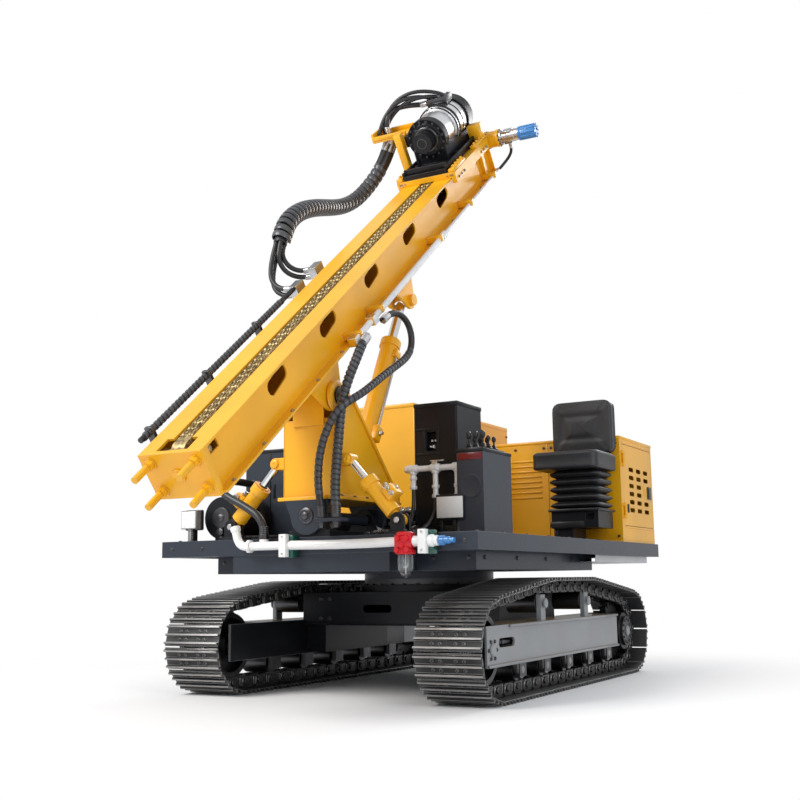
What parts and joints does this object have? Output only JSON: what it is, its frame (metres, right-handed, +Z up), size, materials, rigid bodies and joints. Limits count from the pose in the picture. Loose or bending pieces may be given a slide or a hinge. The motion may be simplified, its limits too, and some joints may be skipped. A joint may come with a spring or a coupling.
{
  "type": "tracked piling rig",
  "caption": "Compact crawler piling and drilling rig with a slewing open deck, a side-tilting column, a pitching mast with chain-fed rotary head, seat and power unit.",
  "frame": {"origin": "where the slew axis meets the ground, midway between the tracks", "axes": "+Z up, -Y to the machine's front (the mast's lower end), +X to its right side"},
  "size_m": [1.856, 3.9847, 3.776],
  "materials": {
    "track": "worn steel",
    "undercarriage_grey": "semi-gloss",
    "black_paint": "semi-gloss",
    "deck_grey": "semi-gloss",
    "yellow": "gloss",
    "roller": "satin",
    "steel": "satin",
    "chrome": "polished",
    "chain": "oily",
    "rubber": "matt",
    "vinyl": "satin",
    "white_paint": "gloss",
    "red": "gloss",
    "lamp": "gloss",
    "engine_block": "satin",
    "pale_sheet": "satin",
    "hose": "satin"
  },
  "bodies": {
    "undercarriage": {"track_right": "track", "track_left": "track", "track_frames": "undercarriage_grey", "track_rollers": "roller", "idlers_and_sprockets": "roller", "centre_frame": "black_paint", "slew_ring": "steel"},
    "deck": {"deck_frame": "deck_grey", "tilt_bearing": "black_paint", "side_cylinder_feet": "black_paint", "engine_cover": "yellow", "engine": "engine_block", "engine_tray": "pale_sheet", "tank_hood": "yellow", "control_cabinet": "black_paint", "console": "deck_grey", "lever_bank": "black_paint", "left_cabinet": "deck_grey", "air_tank": "black_paint", "work_lamp": "lamp", "seat_base": "black_paint", "seat_bellows": "rubber", "seat_cushion": "vinyl", "seat_back": "vinyl", "air_line": "white_paint", "lubricator": "red", "line_clamps": "white_paint", "air_manifold": "white_paint", "deck_hose": "hose"},
    "engine_door": {"engine_door": "yellow"},
    "column": {"column": "yellow", "column_lugs": "black_paint", "mast_pin": "steel", "supply_hose": "hose", "return_hose": "hose"},
    "side_barrel_right": {"side_barrel_right": "yellow"},
    "side_rod_right": {"side_rod_right": "chrome"},
    "side_barrel_left": {"side_barrel_left": "yellow"},
    "side_rod_left": {"side_rod_left": "chrome"},
    "mast": {"mast_beam": "yellow", "mast_hinge": "yellow", "lift_bracket": "yellow", "feed_drive": "yellow", "feed_chain": "chain", "mast_pipes": "chrome", "mast_hose_fittings": "steel", "mast_side_hoses": "hose", "head_hose_bundle": "hose", "branch_hose_1": "hose", "branch_hose_2": "hose", "branch_hose_3": "hose", "branch_hose_4": "hose", "feed_motor_hose": "hose"},
    "lift_barrel": {"lift_barrel": "yellow"},
    "lift_rod": {"lift_rod": "chrome"},
    "carriage": {"carriage": "yellow", "rotary_head": "black_paint", "hose_bracket": "yellow", "head_loop_hose": "hose"},
    "spindle": {"spindle": "black_paint"}
  },
  "joints": [
    {"name": "slew", "type": "hinge", "parent": "undercarriage", "child": "deck", "pos_m": [0, 0, 0.594], "axis": [0, 0, 1], "range_deg": [-180, 180]},
    {"name": "engine_door_hinge", "type": "hinge", "parent": "deck", "child": "engine_door", "pos_m": [0.919, 0.93, 1.165], "axis": [0, 0, 1], "range_deg": [-115, 0]},
    {"name": "column_tilt", "type": "hinge", "parent": "deck", "child": "column", "pos_m": [0, -0.98, 0.905], "axis": [0, 1, 0], "range_deg": [-15, 15]},
    {"name": "mast_pitch", "type": "hinge", "parent": "column", "child": "mast", "pos_m": [0, -1.24, 1.5], "axis": [1, 0, 0], "range_deg": [-19, 51]},
    {"name": "feed", "type": "slide", "parent": "mast", "child": "carriage", "axis": [0, 0.7771, 0.6293], "range_m": [-2.62, 0]},
    {"name": "spindle_turn", "type": "hinge", "parent": "carriage", "child": "spindle", "pos_m": [0, 0.08395, 3.3609], "axis": [0, 0.7771, 0.6293], "continuous": true},
    {"name": "lift_barrel_turn", "type": "hinge", "parent": "column", "child": "lift_barrel", "pos_m": [0, -0.78, 1.24], "axis": [1, 0, 0], "range_deg": [-17.7, 45.9]},
    {"name": "lift_rod_slide", "type": "slide", "parent": "lift_barrel", "child": "lift_rod", "axis": [0, 0.4524, 0.8918], "range_m": [-0.172, 0.445]},
    {"name": "side_barrel_right_turn", "type": "hinge", "parent": "deck", "child": "side_barrel_right", "pos_m": [0.495, -1.233, 0.868], "axis": [0, 1, 0], "range_deg": [-2.8, 2.8]},
    {"name": "side_rod_right_slide", "type": "slide", "parent": "side_barrel_right", "child": "side_rod_right", "axis": [-0.6703, 0, 0.7421], "range_m": [-0.094, 0.094]},
    {"name": "side_barrel_left_turn", "type": "hinge", "parent": "deck", "child": "side_barrel_left", "pos_m": [-0.495, -1.233, 0.868], "axis": [0, 1, 0], "range_deg": [-2.8, 2.8]},
    {"name": "side_rod_left_slide", "type": "slide", "parent": "side_barrel_left", "child": "side_rod_left", "axis": [0.6703, 0, 0.7421], "range_m": [-0.094, 0.094]}
  ],
  "couplings": [
    {"joint": "lift_barrel_turn", "follows": "mast_pitch", "ratio": 0.8812},
    {"joint": "lift_rod_slide", "follows": "mast_pitch", "m_per_rad": 0.48916},
    {"joint": "side_barrel_right_turn", "follows": "column_tilt", "ratio": 0.1216},
    {"joint": "side_rod_right_slide", "follows": "column_tilt", "m_per_rad": -0.33997},
    {"joint": "side_barrel_left_turn", "follows": "column_tilt", "ratio": 0.1216},
    {"joint": "side_rod_left_slide", "follows": "column_tilt", "m_per_rad": 0.33997}
  ]
}
